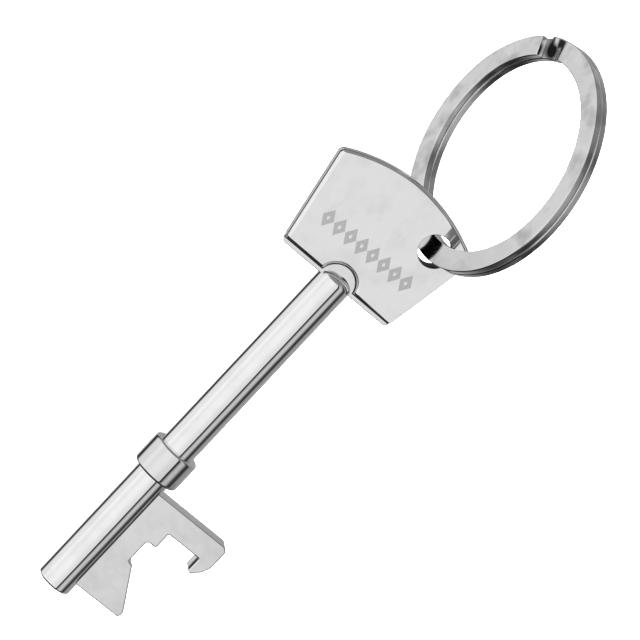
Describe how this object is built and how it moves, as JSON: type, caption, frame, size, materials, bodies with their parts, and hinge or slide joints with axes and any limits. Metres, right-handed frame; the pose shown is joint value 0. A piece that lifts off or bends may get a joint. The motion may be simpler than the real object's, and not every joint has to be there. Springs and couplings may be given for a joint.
{
  "type": "keychain bottle opener",
  "caption": "Key-shaped pocket bottle opener: round shank, flared flat bow, hooked bit that lifts crown caps, and a split ring through a corner of the bow.",
  "frame": {"origin": "centre of the flat end of the barrel, on the key's long axis", "axes": "+X along the shank from the tip to the bow, +Y away from the bit, +Z out of the bow's front face"},
  "size_m": [0.0887, 0.0232, 0.0288],
  "materials": {
    "head_plate": "polished edge",
    "front_face": "polished, with a band of fine satin marks",
    "rear_face": "polished",
    "shank": "polished",
    "collar": "polished",
    "bit": "polished",
    "split_ring": "nickel-plated, bright"
  },
  "bodies": {
    "key": {"head_plate": "head_plate", "front_face": "front_face", "rear_face": "rear_face", "shank": "shank", "collar": "collar", "bit": "bit"},
    "ring": {"split_ring": "split_ring"}
  },
  "joints": [
    {"name": "ring_swing", "type": "hinge", "parent": "key", "child": "ring", "pos_m": [0.06, -0.0061, 0], "axis": [0, 0, 1], "range_deg": [-188, 151]}
  ]
}
